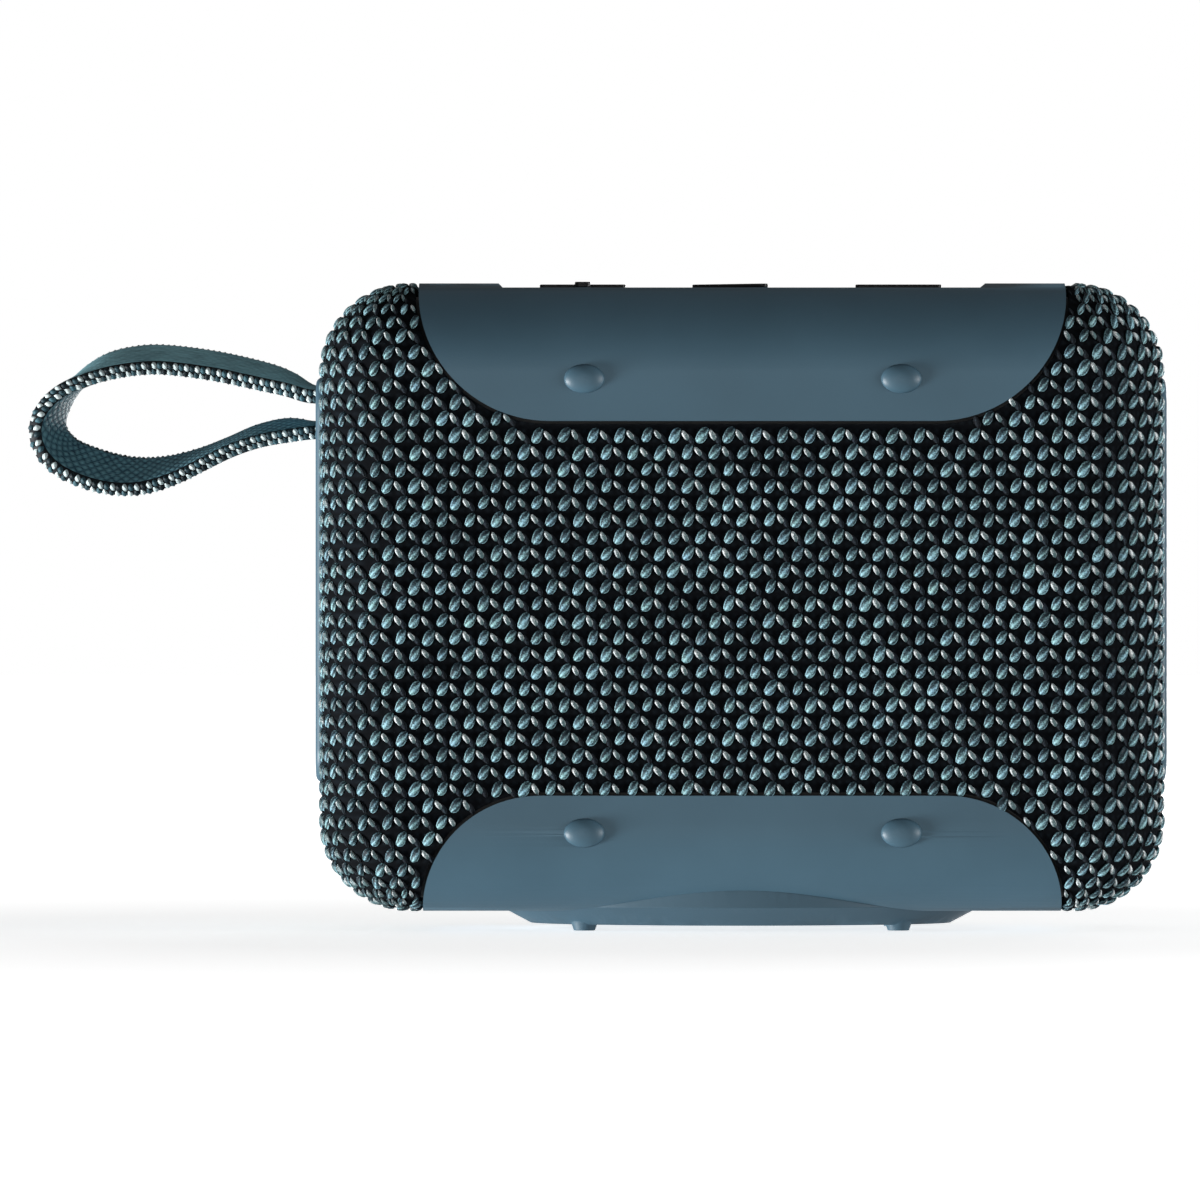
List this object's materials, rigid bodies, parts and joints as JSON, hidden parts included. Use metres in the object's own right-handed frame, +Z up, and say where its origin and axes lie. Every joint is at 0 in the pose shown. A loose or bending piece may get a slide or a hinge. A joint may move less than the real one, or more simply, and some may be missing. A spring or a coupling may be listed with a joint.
{
  "type": "portable wireless speaker",
  "caption": "Pocket-size fabric-covered wireless speaker: a rounded block with wrap-over panels, raised top keys, an oval base foot and a braided wrist strap.",
  "frame": {"origin": "middle of the standing plane, under the tips of the four base nubs", "axes": "+Z up, -Y the front (driver side), +X the side that the wrist strap leaves"},
  "size_m": [0.1176, 0.0411, 0.0671],
  "materials": {
    "fabric": "woven melange, blue grey over black",
    "panel": "soft-touch slate blue",
    "symbol": "satin black",
    "foot": "soft slate blue",
    "housing": "black, fine grain",
    "seal": "black",
    "paper": "pressed black pulp",
    "steel": "zinc plated",
    "ferrite": "sintered",
    "copper": "enamelled winding",
    "screw": "black zinc",
    "cell": "grey film",
    "board": "green solder mask",
    "chip": "moulded black",
    "lens": "clear",
    "lead": "insulated wire",
    "strap": "flat braided webbing"
  },
  "bodies": {
    "body": {"base_foot": "foot", "base_panel": "panel", "battery_cell": "cell", "battery_leads": "lead", "battery_pad": "seal", "board_chips": "chip", "board_header": "chip", "board_screws": "screw", "box_gasket": "seal", "box_screws": "screw", "case_screws": "screw", "driver_basket": "steel", "driver_gasket": "seal", "driver_leads": "lead", "driver_surround": "seal", "fabric_sleeve": "fabric", "front_baffle": "housing", "front_grille": "housing", "key_board": "board", "key_ribbon": "lead", "key_switches": "chip", "magnet": "ferrite", "main_board": "board", "port_side_panel": "panel", "radiator_frame": "housing", "radiator_surround": "seal", "rear_shell": "housing", "side_board": "board", "side_switches": "chip", "socket_insert": "chip", "socket_seal": "seal", "socket_shell": "steel", "speaker_box": "housing", "spider": "paper", "status_lens": "lens", "strap_pin": "steel", "strap_side_panel": "panel", "top_panel": "panel", "top_plate": "steel", "wrist_strap": "strap", "yoke": "steel"},
    "plus": {"plus_key": "panel", "plus_symbol": "symbol", "plus_plunger": "chip"},
    "play": {"play_key": "panel", "play_symbol": "symbol", "play_plunger": "chip"},
    "minus": {"minus_key": "panel", "minus_symbol": "symbol", "minus_plunger": "chip"},
    "power": {"power_key": "panel", "power_plunger": "chip"},
    "pairing": {"pairing_key": "panel", "pairing_plunger": "chip"},
    "cone": {"driver_cone": "paper", "dust_cap": "paper", "voice_coil": "copper"},
    "radiator": {"radiator_plate": "steel"}
  },
  "joints": [
    {"name": "plus_press", "type": "slide", "parent": "body", "child": "plus", "axis": [0, 0, -1], "range_m": [0, 0.00035], "stiffness_N_per_m": 1500},
    {"name": "play_press", "type": "slide", "parent": "body", "child": "play", "axis": [0, 0, -1], "range_m": [0, 0.00035], "stiffness_N_per_m": 1500},
    {"name": "minus_press", "type": "slide", "parent": "body", "child": "minus", "axis": [0, 0, -1], "range_m": [0, 0.00035], "stiffness_N_per_m": 1500},
    {"name": "power_press", "type": "slide", "parent": "body", "child": "power", "axis": [1, 0, 0], "range_m": [0, 0.00035], "stiffness_N_per_m": 1500},
    {"name": "pairing_press", "type": "slide", "parent": "body", "child": "pairing", "axis": [1, 0, 0], "range_m": [0, 0.00035], "stiffness_N_per_m": 1500},
    {"name": "cone_travel", "type": "slide", "parent": "body", "child": "cone", "axis": [0, -1, 0], "range_m": [-0.001, 0.001], "stiffness_N_per_m": 1500, "deforming": ["driver_surround", "spider"]},
    {"name": "radiator_travel", "type": "slide", "parent": "body", "child": "radiator", "axis": [0, 1, 0], "range_m": [-0.0012, 0.0012], "stiffness_N_per_m": 1200, "deforming": ["radiator_surround"]}
  ]
}
